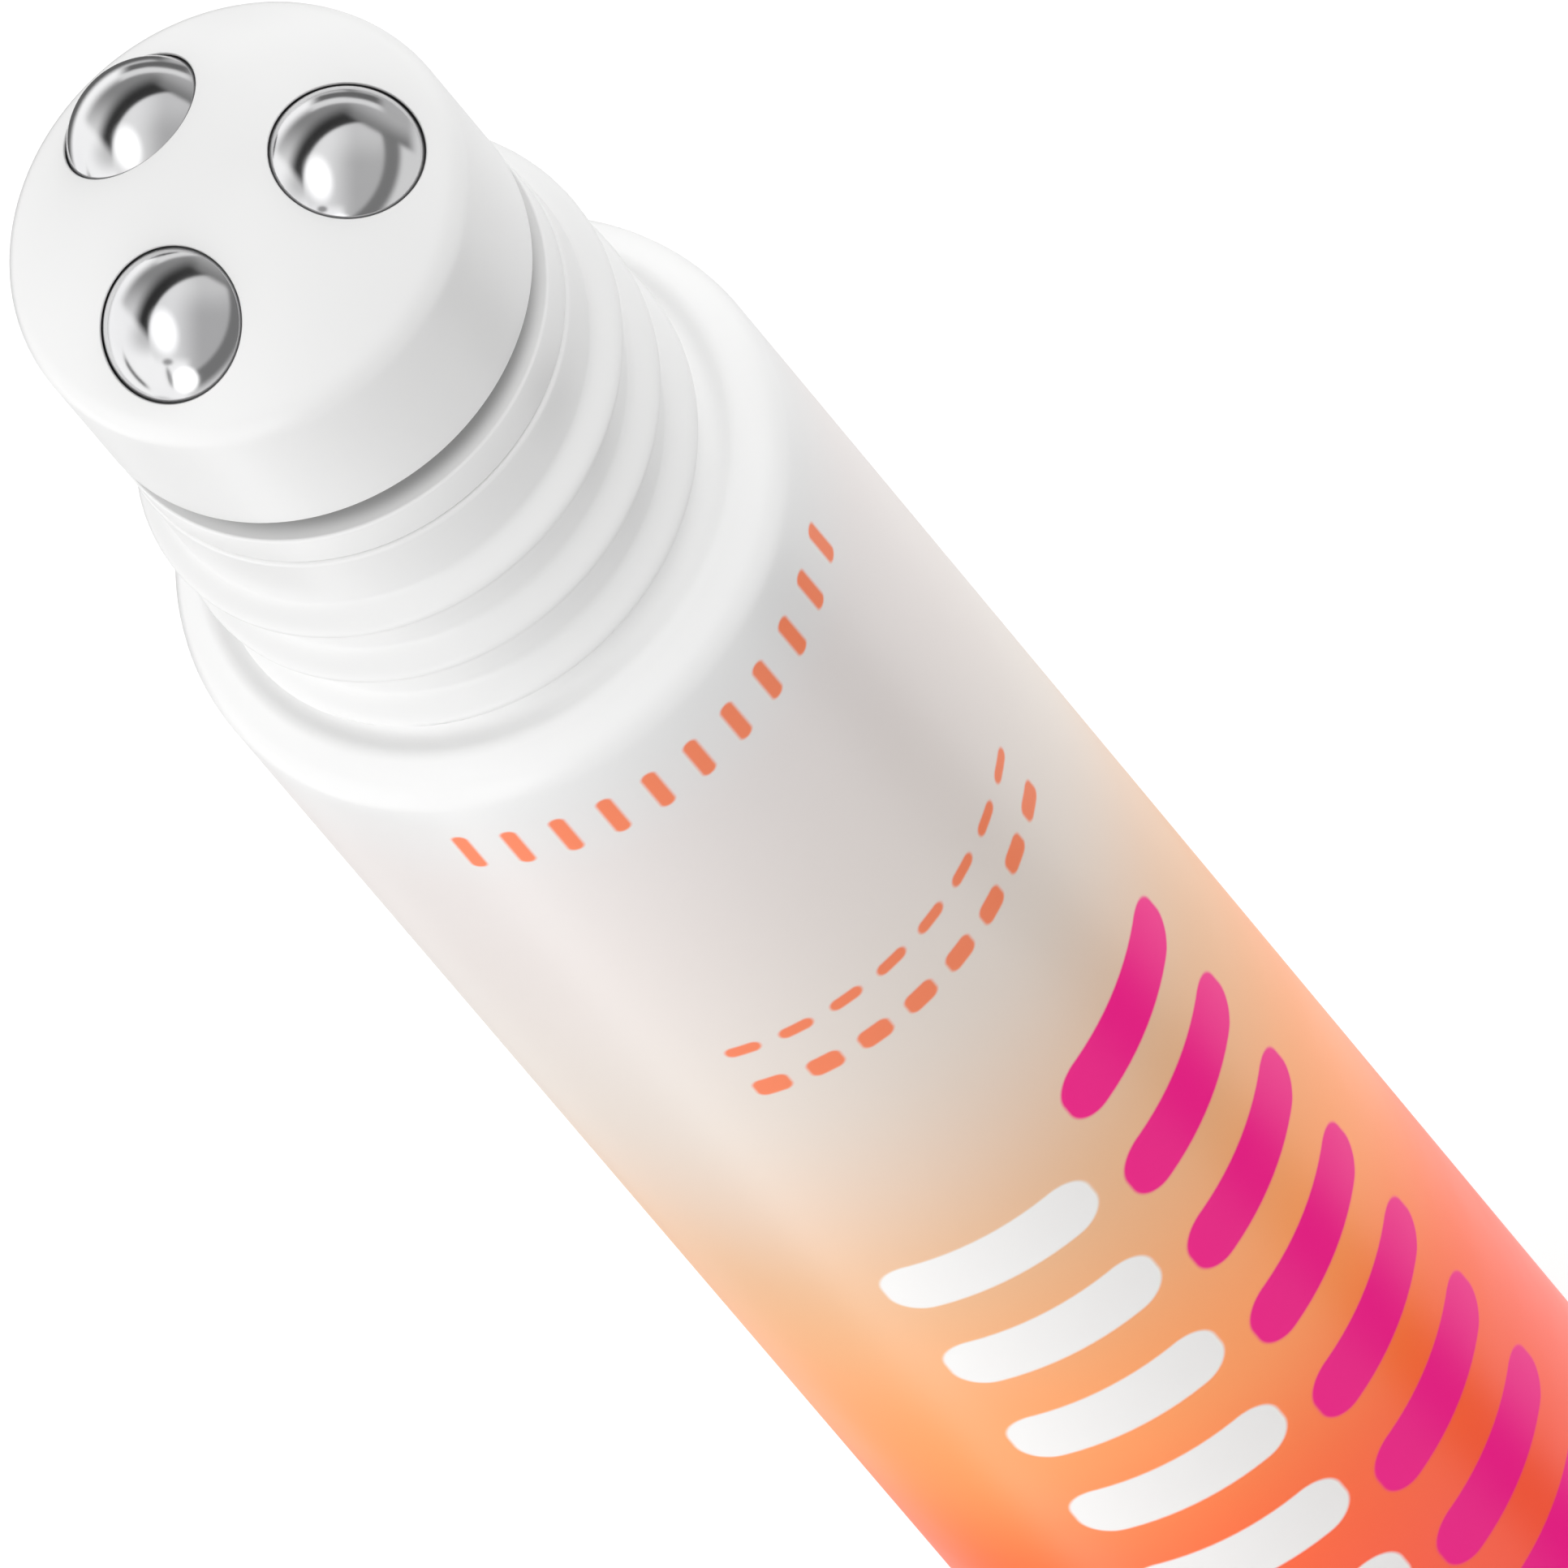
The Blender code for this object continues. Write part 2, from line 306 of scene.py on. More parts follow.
bottleLook = {
    "fade": [                      # height in mm, colour
        (0, (0.96, 0.05, 0.03)),
        (15, (0.97, 0.075, 0.02)),
        (20, (0.97, 0.10, 0.01)),
        (24, (0.97, 0.16, 0.02)),
        (28.5, (0.96, 0.33, 0.09)),
        (33, (0.95, 0.365, 0.115)),
        (38, (0.90, 0.45, 0.20)),
        (43.5, (0.875, 0.515, 0.285)),
        (48.5, (0.84, 0.62, 0.47)),
        (54, (0.795, 0.722, 0.655)),
        (61, (0.80, 0.735, 0.70)),
        (71, (0.80, 0.75, 0.735)),
        (75, (0.80, 0.80, 0.797)),
        # Painted highlight: the band from 76.8 to 78.2 mm, at the shoulder's edge, is lighter than
        # the white plastic; painted shade: the neck above it is a little darker
        (76.8, (0.83, 0.83, 0.827)),
        (77.4, (0.87, 0.87, 0.867)),
        (78.2, (0.82, 0.82, 0.817)),
        (80, (0.765, 0.765, 0.762)),
    ],
    "drift": 1.2,                  # how far in mm the fade wanders up and down
    "driftScale": 45.0,
    "driftDetail": 1.0,
    "driftSpan": (0.2, 0.8),
    "paintedGlow": (1.0, 0.12, 0.0),      # painted glow: the bare orange gives off a little light of its own, so it looks brighter than a plain colour could be
    "paintedGlowStrength": 0.11,
    "paintedGlowTop": 45.0,
    "paintedGlowFull": 29.0,
    "patchScale": 160.0,
    "patchSpan": (0.3, 0.7),
    "roughLow": 0.29,
    "roughHigh": 0.33,
    "grainScale": 1400.0,
    "grainDetail": 2.0,
    "grainStrength": 0.03,
    "grainHeight": 0.004,
}


def smoothStep(x):
    x = min(max(x, 0), 1)
    return x * x * (3 - 2 * x)


def ridgeRise(turn, height):
    # Height of the screw thread above the neck wall
    shape = threadShape
    partTurn = ((shape["start"] - turn) % math.tau) / math.tau
    rise = 0
    for whole in range(int(shape["turns"]) + 1):
        walked = whole + partTurn
        offset = height - (shape["topCrest"] - shape["pitch"] * walked)
        width = shape["upperFlank"] if offset > 0 else shape["lowerFlank"]
        if walked > shape["turns"] or abs(offset) > width:
            continue
        ends = smoothStep(min(walked, shape["turns"] - walked) / shape["endTurn"])
        wave = (1 + math.cos(math.pi * offset / width)) / 2
        rise = max(rise, shape["depth"] * wave * ends)
    edge = min(height - bottleShape["bodyHeight"], shape["highest"] - height) / shape["fade"]
    return rise * smoothStep(edge)


def raiseThread(bm):
    # The screw thread is raised out of the neck and runs softly into the shoulder's fillet
    neck, near, blend = bottleShape["neckRadius"], meshDetail["near"], threadShape["blend"]
    for vert in bm.verts:
        radius, height = vert.co.xy.length / mm, vert.co.z / mm
        onNeck = bottleShape["bodyHeight"] < height < threadShape["highest"]
        if radius < neck - near or not onNeck:
            continue
        ridge = neck + ridgeRise(math.atan2(vert.co.y, vert.co.x), height)
        share = 1
        if radius > neck + near:
            share = min(max(0.5 + 0.5 * (ridge - radius) / blend, 0), 1)
        raised = ridge * share + radius * (1 - share) + blend * share * (1 - share)
        vert.co.xy *= raised / radius


def makeBottle(material):
    shape = bottleShape
    body, neck, bore = shape["bodyRadius"], shape["neckRadius"], shape["boreRadius"]
    top, lip, recess = shape["bodyHeight"], shape["lipHeight"], shape["baseRecess"]
    inner, ceiling = body - shape["wall"], top - shape["wall"]
    bm = bmesh.new()
    drawProfile(bm, [
        (0, recess, 0),
        (shape["footInner"] - recess, recess, shape["recessCorner"]),
        (shape["footInner"], 0, shape["footCorner"]),
        (body, 0, shape["baseCorner"]),
        (body, top - shape["shoulderDrop"], shape["shoulderCorner"]),
        (shape["shoulderTop"], top, shape["shoulderEdge"]),
        (neck, top, shape["neckFillet"]),
        (neck, lip, shape["lipCorner"]),
        (bore, lip, shape["lipCorner"]),
        (bore, ceiling, shape["boreCorner"]),
        (inner, ceiling, shape["ceilingCorner"]),
        (inner, shape["baseInside"], shape["floorCorner"]),
        (0, shape["baseInside"], 0),
    ])
    splitWall(bm, neck, shape["neckRow"])
    splitWall(bm, body, shape["wallRow"])
    turnProfile(bm, shape["sides"])
    raiseThread(bm)
    bottle = makeObject("bottle_shell", bm, material)
    fixPiece(bottle, "pack", "bottle_plastic", "bottle")


def barMask(tree, around, height, bar):
    # A rounded bar on the wall, or a row or column of them
    def fromMiddle(value, middle, every):
        offset = math2(tree, "SUBTRACT", value, middle)
        if every:
            return math2(tree, "PINGPONG", offset, every / 2)
        return math2(tree, "ABSOLUTE", offset)

    def pastCorner(offset, size):
        return math2(tree, "MAXIMUM", math2(tree, "SUBTRACT", offset, size / 2 - corner), 0.0)

    corner, soft = bar["corner"], printLook["softEdge"] / 2
    across = fromMiddle(around, bar["around"], bar.get("everyAround"))
    along = fromMiddle(height, bar["height"], bar.get("everyHeight"))
    outX, outZ = pastCorner(across, bar["wide"]), pastCorner(along, bar["tall"])
    squares = math2(tree, "ADD", times(tree, outX, outX), times(tree, outZ, outZ))
    distance = math2(tree, "SQRT", squares)
    mask = rangeOf(tree, distance, corner + soft, corner - soft)
    for key, value in (("span", height), ("reach", around)):
        if key in bar:
            low, high = bar[key]
            mask = times(tree, mask, math2(tree, "GREATER_THAN", value, low))
            mask = times(tree, mask, math2(tree, "LESS_THAN", value, high))
    return mask


def fadeColours(tree, place, height):
    # The colour fades down the bottle, with a slow drift that keeps it from looking ruled
    look, points = bottleLook, bottleLook["fade"]
    top = points[-1][0]
    noise = noiseOf(tree, place, look["driftScale"], look["driftDetail"])
    drift = rangeOf(tree, noise, *look["driftSpan"], -look["drift"], look["drift"])
    ramp = tree.nodes.new("ShaderNodeValToRGB")
    ramp.color_ramp.interpolation = "B_SPLINE"
    share = math2(tree, "DIVIDE", math2(tree, "ADD", height, drift), float(top))
    tree.links.new(share, ramp.inputs[0])
    stops = ramp.color_ramp.elements
    for extra in range(len(points) - 2):
        stops.new(0.5)
    for stop, (level, colour) in zip(stops, points):
        stop.position = level / top
        stop.color = (*colour, 1)
    return ramp.outputs["Color"]


def bottlePlastic():
    look = bottleLook
    material, tree, shader, place = startMaterial("bottlePlastic")
    addGrain(tree, shader, place, look)
    split = tree.nodes.new("ShaderNodeSeparateXYZ")
    tree.links.new(place, split.inputs[0])
    x, y, z = split.outputs
    height = times(tree, z, 1 / mm)
    colour = fadeColours(tree, place, height)
    # Distance along the wall from the side that faces the camera
    sine, cosine = math.sin(cameraTurn), math.cos(cameraTurn)
    toRight = math2(tree, "ADD", times(tree, x, cosine), times(tree, y, sine))
    toFront = math2(tree, "SUBTRACT", times(tree, x, sine), times(tree, y, cosine))
    turn = math2(tree, "ARCTAN2", toRight, toFront)
    around = times(tree, turn, bottleShape["bodyRadius"])
    inked = 0.0
    for bar in printBars:
        mask = barMask(tree, around, height, bar)
        colour = mixColours(tree, mask, colour, printLook[bar["ink"]])
        inked = math2(tree, "MAXIMUM", mask, inked)
    tree.links.new(colour, shader.inputs["Base Color"])
    gloss = rangeOf(tree, inked, 0.0, 1.0, printLook["bareGloss"], printLook["gloss"])
    tree.links.new(gloss, shader.inputs["Specular IOR Level"])
    # Painted glow: the bare orange plastic low on the bottle emits a little light
    shader.inputs["Emission Color"].default_value = (*look["paintedGlow"], 1)
    paintedGlow = rangeOf(tree, height, look["paintedGlowTop"], look["paintedGlowFull"], 0.0, look["paintedGlowStrength"])
    paintedGlow = times(tree, paintedGlow, rangeOf(tree, inked, 1.0, 0.0))
    tree.links.new(paintedGlow, shader.inputs["Emission Strength"])
    return material


makeBottle(bottlePlastic())
print("bottle done")


# Collar and plug, in mm

fitmentShape = {
    "outer": 7.046,
    "bottom": 87.5,
    "top": 88.9,
    "edge": 0.1,
    "spigot": 5.746,
    "spigotTop": 91.5,
    "spigotFoot": 0.15,
    "spigotEdge": 0.05,
    "bead": 0.45,                  # the bead that the head snaps over
    "beadHeight": 0.5,
    "beadEdge": 0.06,
    "plug": 5.2,
    "plugEnd": 79.5,
    "plugTaper": 0.4,
    "plugCorner": 0.1,
    "plugBore": 4.0,
    "feedHole": 1.0,
    "feedPlate": 0.7,
    "ribs": (81.5, 83.5, 85.5),
    "ribHalf": 0.25,
    "ribRise": 0.3,
    "ribEdge": 0.05,
    "sides": 144,
    "shade": (0.42, 0.42, 0.42),   # painted shade: the collar is painted darker inwards in the narrow gap below the head, where the head shades it
    "shadeAbove": 88.4,
    "shadeFrom": 6.92,
    "shadeFull": 6.3,
}


def makeFitment(material):
    shape = fitmentShape
    low, high, end = shape["bottom"], shape["top"], shape["plugEnd"]
    plug, bore, corner = shape["plug"], shape["plugBore"], shape["plugCorner"]
    spigot, plate = shape["spigot"], shape["spigotTop"]
    taper, half, hole = shape["plugTaper"], shape["ribHalf"], shape["feedHole"]
    beadLow, plateLow = plate - shape["beadHeight"], plate - shape["feedPlate"]
    corners = [(bore, end, corner), (plug - taper, end, corner), (plug, end + taper, corner)]
    for rib in shape["ribs"]:
        corners += [(plug, rib - half, 0), (plug + shape["ribRise"], rib, shape["ribEdge"]),
                    (plug, rib + half, 0)]
    corners += [
        (plug, low, 0),
        (shape["outer"], low, shape["edge"]),
        (shape["outer"], high, shape["edge"]),
        (spigot, high, shape["spigotFoot"]),
        (spigot, beadLow, 0),
        (spigot + shape["bead"], beadLow, shape["beadEdge"]),
        (spigot, plate, shape["spigotEdge"]),
        (hole, plate, corner),
        (hole, plateLow, 0),
        (bore, plateLow, corner),
    ]
    bm = bmesh.new()
    drawProfile(bm, corners, closed=True)
    turnProfile(bm, shape["sides"])
    fitment = makeObject("collar_and_plug", bm, material)
    fixPiece(fitment, "pack", "fitment_plastic", "roller_fitment")


def collarPlastic():
    shape = fitmentShape
    material = mouldedWhite("collarPlastic", whiteLook)
    tree = material.node_tree
    surface = tree.nodes["Principled BSDF"].inputs["Base Color"]
    place = tree.nodes.new("ShaderNodeTexCoord").outputs["Object"]
    split = tree.nodes.new("ShaderNodeSeparateXYZ")
    tree.links.new(place, split.inputs[0])
    # Painted shade on the collar's top, darker towards the axis under the head's rim
    fromAxis = vector2(tree, "LENGTH", vector2(tree, "MULTIPLY", place, (1, 1, 0)))
    inward = rangeOf(tree, fromAxis, shape["shadeFrom"] * mm, shape["shadeFull"] * mm)
    above = math2(tree, "GREATER_THAN", split.outputs[2], shape["shadeAbove"] * mm)
    plain = surface.links[0].from_socket
    shaded = mixColours(tree, times(tree, inward, above), plain, shape["shade"])
    tree.links.new(shaded, surface)
    return material


makeFitment(collarPlastic())
print("collar done")


# Head with the three openings, in mm

headShape = {
    "outer": 7.046,
    "rim": rimHeight,
    "rimEdge": 0.1,
    "rimInner": 0.12,
    "domeRadius": 11.3,
    "domeCentre": 86.788,
    "domeEdge": 1.16,
    "crown": 1.2,
    "skirtBore": 6.046,
    "groove": 6.496,
    "grooveBase": 90.7,
    "grooveTop": 91.5,
    "seatBase": 91.8,
    "ledgeRadius": 5.296,
    "ledge": 94.015,
    "innerEdge": 0.05,
    "sides": 160,
    "domeRows": 40,
    "edgeRows": 14,
    "insideRows": 24,
    "wallRow": 0.4,
    "sharp": math.radians(14),
}

ballShape = {
    "radius": 2.57,
    "ring": 3.5911,                # from the axis to the balls' centres
    "height": 95.815,
    "angles": (90, 210, 330),
    "play": 0.035,                 # between a ball and the edge of its opening
    "lip": 0.045,                  # rounding of that edge
    "segments": 96,
    "rings": 48,
}

socketShape = {
    "sides": 128,
    "rows": 40,
    "lipRows": 10,
    "lipTurn": 0.3,                # radians that the rounding goes on past the dome's surface
    "flare": (0.25, 0.4),          # from there the cutter opens outwards and upwards
    "top": 0.9,
}


def arcPoints(centreR, centreZ, radius, start, end, steps):
    turns = [start + (end - start) * i / steps for i in range(steps + 1)]
    return [(centreR + radius * math.cos(a), centreZ + radius * math.sin(a), 0) for a in turns]


def applyCuts(piece, cutters):
    for cutter in cutters:
        cut = piece.modifiers.new(cutter.name, "BOOLEAN")
        cut.operation = "DIFFERENCE"
        cut.solver = "EXACT"
        cut.object = cutter
    bpy.context.view_layer.update()
    finished = piece.evaluated_get(bpy.context.evaluated_depsgraph_get())
    solid = bpy.data.meshes.new_from_object(finished)
    # Slivers that a cut leaves along the piece's own edges are closed up
    sliver = meshDetail["sliver"] * mm
    bm = bmesh.new()
    bm.from_mesh(solid)
    bmesh.ops.remove_doubles(bm, verts=bm.verts, dist=sliver)
    bmesh.ops.dissolve_degenerate(bm, edges=bm.edges, dist=sliver)
    bmesh.ops.triangulate(bm, faces=[face for face in bm.faces if len(face.verts) > 4])
    bmesh.ops.dissolve_degenerate(bm, edges=bm.edges, dist=sliver)
    bm.to_mesh(solid)
    bm.free()
    piece.modifiers.clear()
    piece.data = solid
    for cutter in cutters:
        bpy.data.objects.remove(cutter, do_unlink=True)


def socketCutter(name, angle):
    # A turned shape about the line from the dome's centre through the ball: the ball's
    # round socket, which opens out over a small rounded edge
    shape, centre = socketShape, headShape["domeCentre"]
    reach = math.hypot(ballShape["ring"], ballShape["height"] - centre)
    tilt = math.asin(ballShape["ring"] / reach)
    socket, lip = ballShape["radius"] + ballShape["play"], ballShape["lip"]
    # Centre of the rounding, which touches the socket and the dome's surface
    outer, inner = headShape["domeRadius"] - lip, socket + lip
    along = (reach ** 2 + outer ** 2 - inner ** 2) / (2 * reach)
    across = math.sqrt(outer ** 2 - along ** 2)
    onSocket = math.atan2(along - reach, across)
    onDome = math.atan2(along, across) + shape["lipTurn"]
    points = arcPoints(0, reach, socket, -math.pi / 2, onSocket, shape["rows"])
    points[0] = (0, reach - socket, 0)
    points += arcPoints(across, along, lip, onSocket + math.pi, onDome, shape["lipRows"])[1:]
    edgeR, edgeZ, _ = points[-1]
    outwards, upwards = shape["flare"]
    points += [(edgeR + outwards, edgeZ + upwards, 0), (0, edgeZ + shape["top"], 0)]
    bm = bmesh.new()
    drawProfile(bm, points)
    turnProfile(bm, shape["sides"])
    turn = Matrix.Rotation(math.radians(angle), 4, "Z") @ Matrix.Rotation(tilt, 4, "Y")
    place = Matrix.Translation((0, 0, centre * mm)) @ turn
    bmesh.ops.transform(bm, matrix=place, verts=bm.verts)
    return addObject(name, bm)


def makeHead(material):
    shape = headShape
    centre, dome, edge = shape["domeCentre"], shape["domeRadius"], shape["domeEdge"]
    outer, skirt, groove = shape["outer"], shape["skirtBore"], shape["groove"]
    edgeR = outer - edge
    edgeZ = centre + math.sqrt((dome - edge) ** 2 - edgeR ** 2)
    meet = math.atan2(edgeZ - centre, edgeR)
    inside = dome - shape["crown"]
    insideAngle = math.acos(shape["ledgeRadius"] / inside)
    corners = arcPoints(0, centre, dome, math.pi / 2, meet, shape["domeRows"])
    corners[0] = (0, centre + dome, 0)
    corners += arcPoints(edgeR, edgeZ, edge, meet, 0, shape["edgeRows"])[1:]
    corners += [
        (outer, shape["rim"], shape["rimEdge"]),
        (skirt, shape["rim"], shape["rimInner"]),
        (skirt, shape["grooveBase"], 0),
        (groove, shape["grooveBase"], shape["innerEdge"]),
        (groove, shape["grooveTop"], 0),
        (skirt, shape["seatBase"], 0),
        (skirt, shape["ledge"], shape["innerEdge"]),
        (shape["ledgeRadius"], shape["ledge"], shape["innerEdge"]),
    ]
    corners += arcPoints(0, centre, inside, insideAngle, math.pi / 2, shape["insideRows"])
    corners[-1] = (0, centre + inside, 0)
    bm = bmesh.new()
    drawProfile(bm, corners)
    splitWall(bm, outer, shape["wallRow"])
    turnProfile(bm, shape["sides"])
    head = makeObject("roller_head", bm, material)
    applyCuts(head, [socketCutter("socket_%d" % a, a) for a in ballShape["angles"]])
    shadeSmooth(head, shape["sharp"])
    fixPiece(head, "pack", "housing_plastic", "roller_housing")


def ballPlace(angle):
    turn, reach = math.radians(angle), ballShape["ring"] * mm
    return reach * math.cos(turn), reach * math.sin(turn), ballShape["height"] * mm


socketRadius = (ballShape["radius"] + ballShape["play"]) * mm
sockets = [(ballPlace(angle), socketRadius) for angle in ballShape["angles"]]
makeHead(mouldedWhite("headPlastic", whiteLook, sockets))
print("head done")


# Polished balls

steelLook = {
    "bright": (0.67, 0.67, 0.675),
    "dull": (0.63, 0.63, 0.64),
    "patchScale": 420.0,
    "patchSpan": (0.3, 0.7),
    "roughLow": 0.10,
    "roughHigh": 0.13,
    "grainScale": 3000.0,
    "grainDetail": 2.0,
    "grainStrength": 0.01,
    "grainHeight": 0.002,
}


def polishedSteel():
    look = steelLook
    material, tree, shader, place = startMaterial("polishedSteel")
    patches = addGrain(tree, shader, place, look)
    brighter = rangeOf(tree, patches, *look["patchSpan"])
    colour = mixColours(tree, brighter, look["dull"], look["bright"])
    tree.links.new(colour, shader.inputs["Base Color"])
    shader.inputs["Metallic"].default_value = 1.0
    return material


def makeBall(number, angle, material):
    shape = ballShape
    bm = bmesh.new()
    bmesh.ops.create_uvsphere(bm, u_segments=shape["segments"], v_segments=shape["rings"],
                              radius=shape["radius"] * mm)
    # The poles lie on the line about which the ball rolls, where the head hides them
    turn = Matrix.Rotation(math.radians(angle), 4, "Z") @ Matrix.Rotation(-math.pi / 2, 4, "X")
    place = Matrix.Translation(ballPlace(angle)) @ turn
    bmesh.ops.transform(bm, matrix=place, verts=bm.verts)
    ball = makeObject("steel_ball_%d" % number, bm, material)
    fixPiece(ball, "ball_%d" % number, "ball_steel", "roller_ball_%d" % number)


steel = polishedSteel()
for number, angle in enumerate(ballShape["angles"], 1):
    makeBall(number, angle, steel)
print("balls done")


# The seat inside the head keeps its CAD shape

seatLook = dict(whiteLook, white=(0.76, 0.76, 0.755), shade=(0.72, 0.72, 0.715))
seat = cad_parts["ball_seat"]
seat.data.materials.clear()
seat.data.materials.append(mouldedWhite("seatPlastic", seatLook))
print("seat done")


# Floor, light and camera

studio = {
    "floorSize": 1.2,
    "floorColour": (0.5, 0.5, 0.5),
    "floorRoughness": 0.9,
    "floorWhite": 0.62,            # what brings the lit floor up to white
    # broad soft lights: degrees round from the camera's side, height, strength, sharpness
    "lights": [
        (90, 35, 2.93, 12),
        (-45, 5, 1.95, 14),
        (-90, 5, 1.68, 8),
        (180, 10, 1.50, 10),
        (-45, 30, 1.19, 14),
        (130, 10, 1.09, 12),
        (-90, 35, 0.39, 14),
    ],
}

# What shines in the steel and in the gloss of the plastic. A place is where a card shows on
# a ball: (0, 0) is the point of the ball nearest to the camera, and 1 is its outline. Pairs
# named across and up are where something starts to show and where it shows in full.
cards = {
    "room": 1.32,
    "black": 0.035,
    "dim": 0.25,
    "panel": {"middle": (0.18, -0.075), "radius": 0.66, "edge": 0.02,
              "across": (-0.28, 0.14), "left": 1.10, "right": 0.60,
              "glow": 0.2, "glowUp": (0.1, 0.5), "glowAcross": (-0.35, 0.05)},
    "shadow": {"from": 0.085, "to": 0.24, "up": (0.0, 0.62), "haze": 1.1, "hazeTop": 0.32,
               "clear": (0.78, 0.89)},
    "low": {"slope": (-0.774, -0.634), "offset": -0.436, "edge": (-0.05, 0.06),
            "end": (-0.50, -0.10), "fade": (0.03, 0.28), "near": 0.80},
    "sideBand": {"middle": (-0.41, 0.22), "inner": 0.832, "innerEdge": 0.03,
                 "outer": 1.01, "outerEdge": 0.045, "beyond": 0.9},
    "topCard": {"slope": (0.48, 0.877), "offset": -0.585, "edge": 0.035, "fade": 0.22,
                "reach": (-0.12, 0.12, 0.66, 0.80), "deep": 0.58},
    "lower": {"up": (-0.30, -0.42), "across": (0.02, -0.10)},
    "rings": [   # inner and outer edge, where it starts and ends to the right, top or bottom, level
        (0.805, 0.855, (-0.44, -0.34, 0.30, 0.46), 1, 1.0),
        (0.865, 0.930, (-0.46, -0.28, 0.30, 0.44), 1, 0.17),
        (0.805, 0.840, (-0.79, -0.71, -0.56, -0.44), -1, 0.15),
    ],
    "ringEdge": 0.015,
    "ringHalf": 0.1,
    "behind": {"from": 0.94, "edge": 0.03, "across": (0.2, 0.0), "up": (-0.5, -0.2),
               "level": 0.15, "lowLevel": 0.7},
    "spots": [   # middle, size, turn, softness, level
        ((-0.31, -0.04), (0.135, 0.23), 12, 0.45, 1.9),
        ((-0.07, -0.58), (0.14, 0.14), 0, 0.25, 2.0),
        ((-0.27, -0.38), (0.055, 0.035), 0, 0.50, 0.38),
        ((-0.25, -0.55), (0.025, 0.11), 15, 0.50, 0.30),
        ((-0.34, -0.90), (0.19, 0.12), -10, 0.35, 0.35),
        ((0.87, -0.215), (0.14, 0.12), -14, 0.45, 0.15),
    ],
}

photoView = {
    "lift": math.radians(56.3),    # how far the camera looks down
    "roll": math.radians(40.1),
    "lens": 1700.0,
    "sensor": 36.0,
    "pixels": 1932,                # the photograph's width
    "pixelsPerMm": 43.0,
    "rimAt": (374.7, 372.0),       # the middle of the head's rim in the photograph
    "clipStart": 0.01,
    "clipEnd": 3,                  # times the camera's distance
}


def cameraAxes():
    lift, roll = photoView["lift"], photoView["roll"]
    sine, cosine = math.sin(cameraTurn), math.cos(cameraTurn)
    back = Vector((sine * math.cos(lift), -cosine * math.cos(lift), math.sin(lift)))
    level = Vector((cosine, sine, 0))
    upright = back.cross(level)
    return (math.cos(roll) * level - math.sin(roll) * upright,
            math.cos(roll) * upright + math.sin(roll) * level, back)


def makeFloor():
    # Reflections look past the floor at the studio's cards
    material = bpy.data.materials.new("paleFloor")
    material.use_nodes = True
    tree = material.node_tree
    shader = tree.nodes["Principled BSDF"]
    shader.inputs["Roughness"].default_value = studio["floorRoughness"]
    shader.inputs["Specular IOR Level"].default_value = 0.0
    shader.inputs["Base Color"].default_value = (*studio["floorColour"], 1)
    shader.inputs["Emission Color"].default_value = (1, 1, 1, 1)
    path = tree.nodes.new("ShaderNodeLightPath")
    white = times(tree, path.outputs["Is Camera Ray"], studio["floorWhite"])
    tree.links.new(white, shader.inputs["Emission Strength"])
    clear = tree.nodes.new("ShaderNodeBsdfTransparent")
    either = tree.nodes.new("ShaderNodeMixShader")
    tree.links.new(path.outputs["Is Glossy Ray"], either.inputs[0])
    tree.links.new(shader.outputs[0], either.inputs[1])
    tree.links.new(clear.outputs[0], either.inputs[2])
    tree.links.new(either.outputs[0], tree.nodes["Material Output"].inputs["Surface"])
    bm = bmesh.new()
    bmesh.ops.create_grid(bm, x_segments=1, y_segments=1, size=studio["floorSize"] / 2)
    floor = makeObject("floor", bm, material)


def softLights(tree, direction):
    total = 0.0
    for around, height, strength, sharpness in studio["lights"]:
        a, e = math.radians(around) + cameraTurn, math.radians(height)
        aim = (math.sin(a) * math.cos(e), -math.cos(a) * math.cos(e), math.sin(e))
        facing = vector2(tree, "DOT_PRODUCT", direction, aim)
        near = times(tree, math2(tree, "ADD", facing, 1.0), 0.5)
        lobe = times(tree, math2(tree, "POWER", near, float(sharpness)), strength)
        total = math2(tree, "ADD", lobe, total)
    return total


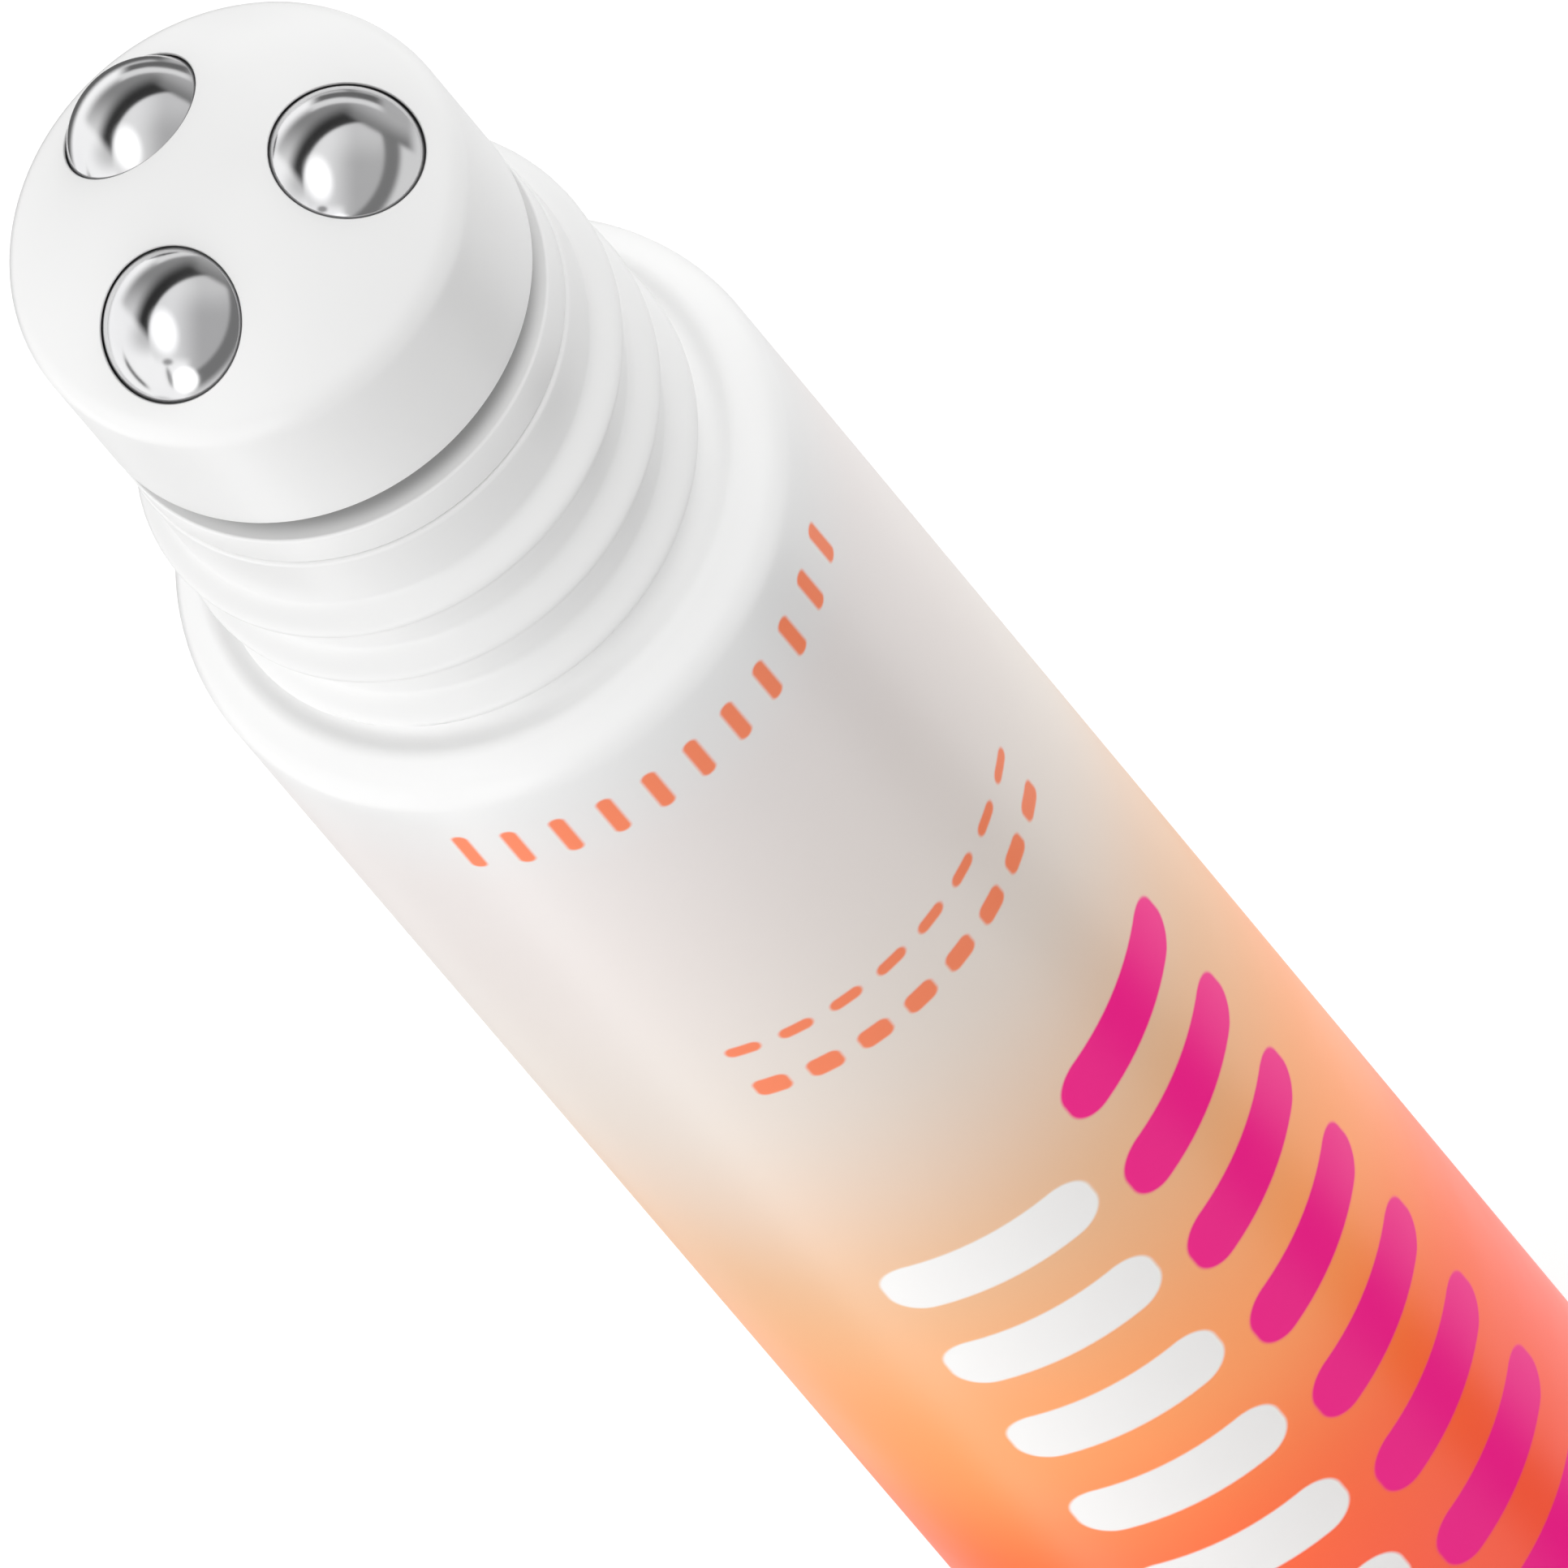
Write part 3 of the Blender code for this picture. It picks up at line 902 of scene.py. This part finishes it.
def studioCards(tree, direction):
    right, up, back = cameraAxes()
    half = vector2(tree, "NORMALIZE", vector2(tree, "ADD", direction, back))
    flat = tree.nodes.new("ShaderNodeCombineXYZ")
    x, y = vector2(tree, "DOT_PRODUCT", half, right), vector2(tree, "DOT_PRODUCT", half, up)
    tree.links.new(x, flat.inputs[0])
    tree.links.new(y, flat.inputs[1])
    place = flat.outputs[0]
    away = vector2(tree, "LENGTH", place)

    def distanceTo(point):
        return vector2(tree, "DISTANCE", place, (*point, 0))

    def depthIn(card):
        # Distance past a straight edge
        facing = vector2(tree, "DOT_PRODUCT", place, (*card["slope"], 0))
        return math2(tree, "ADD", facing, card["offset"])

    def onBoth(first, second):
        return times(tree, rangeOf(tree, *first), rangeOf(tree, *second))

    def between(value, start, full, last, end):
        return onBoth((value, start, full), (value, end, last))

    # A dark strip hugs the large panel and fades through a haze into the white room
    panel, shadow = cards["panel"], cards["shadow"]
    beyond = math2(tree, "SUBTRACT", distanceTo(panel["middle"]), panel["radius"])
    haze = rangeOf(tree, y, *shadow["up"], shadow["haze"], shadow["hazeTop"])
    haze = mixLevels(tree, rangeOf(tree, away, *shadow["clear"]), haze, cards["room"])
    lit = rangeOf(tree, beyond, shadow["from"], shadow["to"])
    level = mixLevels(tree, lit, cards["black"], haze)
    low = cards["low"]
    inLow = rangeOf(tree, depthIn(low), *low["edge"])
    lowLevel = rangeOf(tree, distanceTo(low["end"]), *low["fade"], low["near"], cards["room"])
    level = mixLevels(tree, inLow, level, lowLevel)
    # The panel itself is brighter on its left and glows a little at the top
    body = rangeOf(tree, x, *panel["across"], panel["left"], panel["right"])
    glow = onBoth((y, *panel["glowUp"]), (x, *panel["glowAcross"]))
    body = math2(tree, "ADD", body, times(tree, glow, panel["glow"]))
    level = mixLevels(tree, rangeOf(tree, beyond, panel["edge"], -panel["edge"]), level, body)
    # A dim band beside it and a straight card above it
    band = cards["sideBand"]
    fromBand = distanceTo(band["middle"])
    inner, outer, soft = band["inner"], band["outer"], band["outerEdge"]
    inBand = rangeOf(tree, fromBand, inner - band["innerEdge"], inner + band["innerEdge"])
    past = rangeOf(tree, fromBand, outer - soft, outer + soft, cards["dim"], band["beyond"])
    level = mixLevels(tree, inBand, level, past)
    card = cards["topCard"]
    depth = depthIn(card)
    inCard = times(tree, between(x, *card["reach"]),
                   rangeOf(tree, depth, -card["edge"], card["edge"]))
    deeper = rangeOf(tree, depth, 0.0, card["fade"], cards["dim"], card["deep"])
    level = mixLevels(tree, inCard, level, deeper)
    lower = onBoth((y, *cards["lower"]["up"]), (x, *cards["lower"]["across"]))
    level = mixLevels(tree, lower, level, cards["room"])
    # Thin bright and dark rings near the outline
    soft, spread = cards["ringEdge"], cards["ringHalf"]
    for inner, outer, reach, side, bright in cards["rings"]:
        ring = between(away, inner - soft, inner + soft, outer - soft, outer + soft)
        strip = times(tree, times(tree, ring, between(x, *reach)),
                      rangeOf(tree, y, -spread * side, spread * side))
        level = mixLevels(tree, strip, level, bright)
    # It is dark behind the bottle on the far left
    behind = cards["behind"]
    start, soft = behind["from"], behind["edge"]
    farLeft = onBoth((away, start - soft, start + soft), (x, *behind["across"]))
    dark = rangeOf(tree, y, *behind["up"], behind["lowLevel"], behind["level"])
    level = mixLevels(tree, farLeft, level, dark)
    for middle, size, turn, soft, bright in cards["spots"]:
        mapping = tree.nodes.new("ShaderNodeMapping")
        mapping.vector_type = "TEXTURE"
        mapping.inputs["Location"].default_value = (*middle, 0)
        mapping.inputs["Rotation"].default_value = (0, 0, math.radians(turn))
        mapping.inputs["Scale"].default_value = (*size, 1)
        tree.links.new(place, mapping.inputs["Vector"])
        spot = rangeOf(tree, vector2(tree, "LENGTH", mapping.outputs[0]), 1 + soft, 1 - soft)
        level = mixLevels(tree, spot, level, bright)
    return level


def makeWorld():
    world = bpy.data.worlds.new("studio")
    bpy.context.scene.world = world
    world.use_nodes = True
    tree = world.node_tree
    direction = tree.nodes.new("ShaderNodeTexCoord").outputs["Generated"]
    path = tree.nodes.new("ShaderNodeLightPath")
    lights, shine = softLights(tree, direction), studioCards(tree, direction)
    level = mixLevels(tree, path.outputs["Is Glossy Ray"], lights, shine)
    # Seen directly or through glass, the studio is plain white
    rays = path.outputs["Is Camera Ray"], path.outputs["Is Transmission Ray"]
    strength = mixLevels(tree, math2(tree, "MAXIMUM", *rays), level, 1.0)
    background = tree.nodes["Background"]
    background.inputs["Color"].default_value = (1, 1, 1, 1)
    tree.links.new(strength, background.inputs["Strength"])


def makeCamera():
    view = photoView
    pixel, middle = mm / view["pixelsPerMm"], view["pixels"] / 2
    rimX, rimY = view["rimAt"]
    right, up, back = cameraAxes()
    rim = Vector((0, 0, rimHeight * mm))
    centre = rim + right * (middle - rimX) * pixel - up * (middle - rimY) * pixel
    data = bpy.data.cameras.new("camera")
    data.lens, data.sensor_width = view["lens"], view["sensor"]
    distance = view["pixels"] * pixel * view["lens"] / view["sensor"]
    data.clip_start, data.clip_end = view["clipStart"], distance * view["clipEnd"]
    camera = bpy.data.objects.new("camera", data)
    turn = Matrix((right, up, back)).transposed().to_4x4()
    turn.translation = centre + back * distance
    camera.matrix_world = turn
    bpy.context.collection.objects.link(camera)
    bpy.context.scene.camera = camera


makeFloor()
makeWorld()
makeCamera()
bpy.context.scene.view_settings.view_transform = "Standard"
print("studio done")
